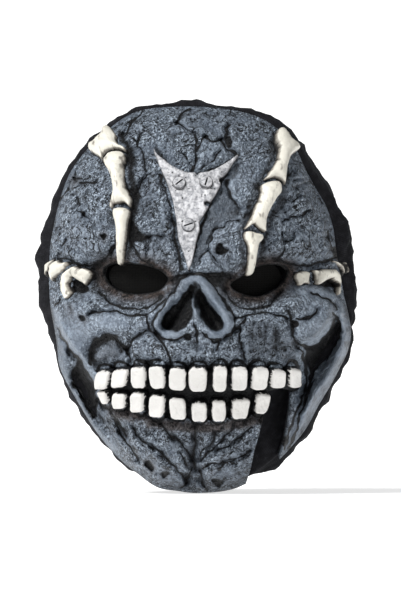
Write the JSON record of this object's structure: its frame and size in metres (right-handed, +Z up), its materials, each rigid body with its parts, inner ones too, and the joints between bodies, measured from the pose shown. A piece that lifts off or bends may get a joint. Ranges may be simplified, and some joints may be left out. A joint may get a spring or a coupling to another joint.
{
  "type": "skull mask",
  "caption": "Full-head costume mask: a cast, painted skull face with bared teeth, bone fingers and a pointed forehead plate on a black stretch hood.",
  "frame": {"origin": "the seat of a head: the inside of the hood's crown, above the middle of the neck opening", "axes": "+Z up along the face, -Y the way the face looks, +X the wearer's left (right in the picture)"},
  "size_m": [0.2012, 0.2055, 0.2456],
  "materials": {
    "painted_latex": "grey-blue paint on cast latex, with a black and brown wash in the hollows and a pale dry-brushed top, satin",
    "hood_cloth": "black knitted stretch cloth, matt",
    "eye_mesh": "black see-through mesh, matt",
    "tooth_paint": "white paint on cast latex, satin",
    "bone_paint": "ivory paint on cast latex, with dark washed creases, satin",
    "plate_paint": "silver-grey paint on cast latex, rubbed back"
  },
  "bodies": {
    "root": {"face_shell": "painted_latex", "hood": "hood_cloth", "eye_mesh_left": "eye_mesh", "eye_mesh_right": "eye_mesh", "upper_tooth_01": "tooth_paint", "upper_tooth_02": "tooth_paint", "upper_tooth_03": "tooth_paint", "upper_tooth_04": "tooth_paint", "upper_tooth_05": "tooth_paint", "upper_tooth_06": "tooth_paint", "upper_tooth_07": "tooth_paint", "upper_tooth_08": "tooth_paint", "upper_tooth_09": "tooth_paint", "upper_tooth_10": "tooth_paint", "upper_tooth_11": "tooth_paint", "lower_tooth_01": "tooth_paint", "lower_tooth_02": "tooth_paint", "lower_tooth_03": "tooth_paint", "lower_tooth_04": "tooth_paint", "lower_tooth_05": "tooth_paint", "lower_tooth_06": "tooth_paint", "lower_tooth_07": "tooth_paint", "lower_tooth_08": "tooth_paint", "lower_tooth_09": "tooth_paint", "left_knuckle": "bone_paint", "left_phalanx": "bone_paint", "left_fingertip": "bone_paint", "right_knuckle": "bone_paint", "right_phalanx": "bone_paint", "right_fingertip": "bone_paint", "left_side_knuckle": "bone_paint", "left_side_phalanx": "bone_paint", "left_side_claw": "bone_paint", "right_side_tip": "bone_paint", "right_side_claw": "bone_paint", "right_side_knuckle": "bone_paint", "forehead_plate": "plate_paint", "plate_screw_one": "plate_paint", "plate_screw_two": "plate_paint", "plate_screw_three": "plate_paint"}
  },
  "joints": []
}
